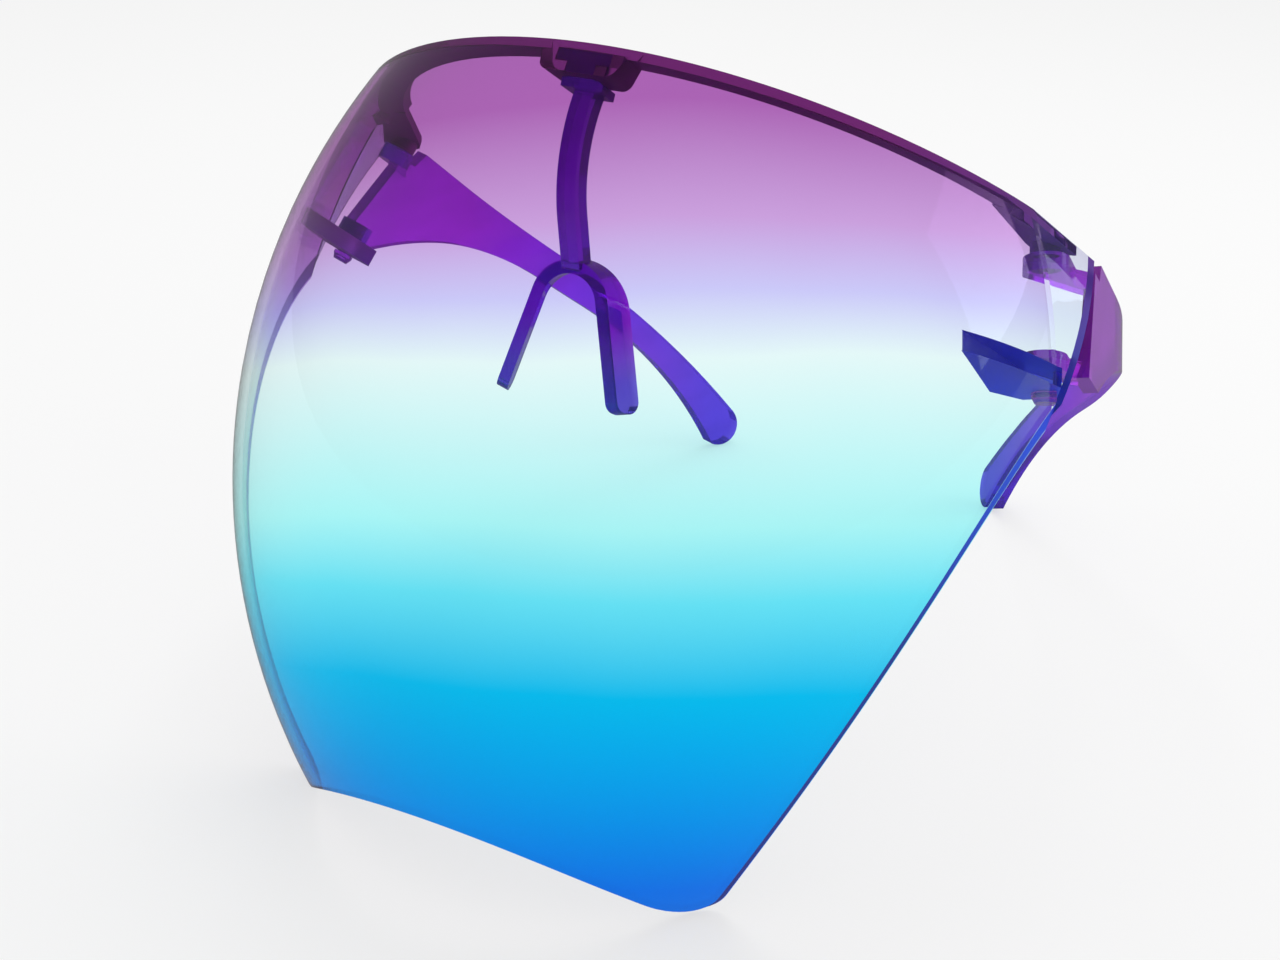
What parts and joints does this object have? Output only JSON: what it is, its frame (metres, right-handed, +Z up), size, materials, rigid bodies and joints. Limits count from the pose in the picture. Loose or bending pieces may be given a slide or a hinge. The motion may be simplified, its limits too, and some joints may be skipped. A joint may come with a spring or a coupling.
{
  "type": "face visor",
  "caption": "Full-face visor: a barrel-curved tinted lens over the whole face, a clip-in nose bridge with blade pads, and wide temples that fold inwards on moulded pegs.",
  "frame": {"origin": "middle of the bounding box, on the table", "axes": "+Z up, the front of the lens faces -Y, +X towards the wearer's left"},
  "size_m": [0.168, 0.2142, 0.1442],
  "materials": {
    "lens": "clear moulded polycarbonate, polished, violet at the brow fading through clear to blue at the chin",
    "bridge": "deep violet translucent plastic, polished",
    "temple": "violet translucent plastic, polished"
  },
  "bodies": {
    "visor": {"shield": "lens", "nose_bridge": "bridge"},
    "left_arm": {"left_temple": "temple"},
    "right_arm": {"right_temple": "temple"}
  },
  "joints": [
    {"name": "left_temple_hinge", "type": "hinge", "parent": "visor", "child": "left_arm", "pos_m": [0.07325, -0.0125, 0.09665], "axis": [-0.2381, 0.5542, 0.7976], "range_deg": [0, 80]},
    {"name": "right_temple_hinge", "type": "hinge", "parent": "visor", "child": "right_arm", "pos_m": [-0.07325, -0.0125, 0.09665], "axis": [-0.2381, -0.5542, -0.7976], "range_deg": [0, 70]}
  ]
}
